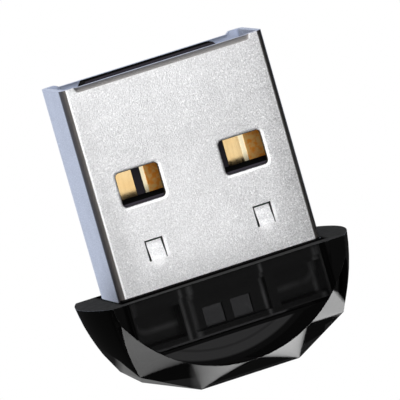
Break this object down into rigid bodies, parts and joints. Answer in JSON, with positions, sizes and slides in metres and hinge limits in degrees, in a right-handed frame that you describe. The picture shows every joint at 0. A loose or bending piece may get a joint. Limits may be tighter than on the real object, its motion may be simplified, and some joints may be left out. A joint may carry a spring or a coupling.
{
  "type": "usb wifi adapter",
  "caption": "Nano USB type A wireless network adapter: sandblasted metal plug with a short faceted half-moon cap of smoked translucent plastic.",
  "frame": {"origin": "middle of the bounding box in X and Y, on the plane the back face of the cap lies on (bounding box bottom centre)", "axes": "+Y from the cap toward the mouth of the plug (the way it is pushed into a port); +Z out of the plug wall that faces up, the side the contacts face; +X across the plug"},
  "size_m": [0.0158, 0.0182, 0.0069],
  "materials": {
    "plug_steel": "fine sandblasted nickel-plated steel",
    "smoked_plastic": "polished smoked translucent plastic",
    "insulator_black": "satin moulded",
    "carrier_black": "satin moulded",
    "board_green": "solder mask",
    "contact_gold": "gold plated",
    "chip_black": "moulded package",
    "crystal_metal": "satin metal lid",
    "inductor_grey": "ferrite",
    "antenna_white": "ceramic",
    "led_lens": "clear resin",
    "filter_white": "ceramic",
    "capacitor_tan": "ceramic",
    "resistor_black": "glazed"
  },
  "bodies": {
    "root": {"plug_shell": "plug_steel", "end_cap": "smoked_plastic", "plug_insulator": "insulator_black", "rear_carrier": "carrier_black", "circuit_board": "board_green", "contact_1_supply": "contact_gold", "contact_2_data_minus": "contact_gold", "contact_3_data_plus": "contact_gold", "contact_4_ground": "contact_gold", "wifi_chip": "chip_black", "memory_chip": "chip_black", "voltage_regulator": "chip_black", "crystal": "crystal_metal", "power_inductor": "inductor_grey", "chip_antenna": "antenna_white", "status_led": "led_lens", "rf_filter": "filter_white", "capacitor_supply_in": "capacitor_tan", "capacitor_supply_out": "capacitor_tan", "capacitor_core": "capacitor_tan", "capacitor_crystal_1": "capacitor_tan", "resistor_led": "resistor_black", "resistor_bias": "resistor_black"}
  },
  "joints": []
}
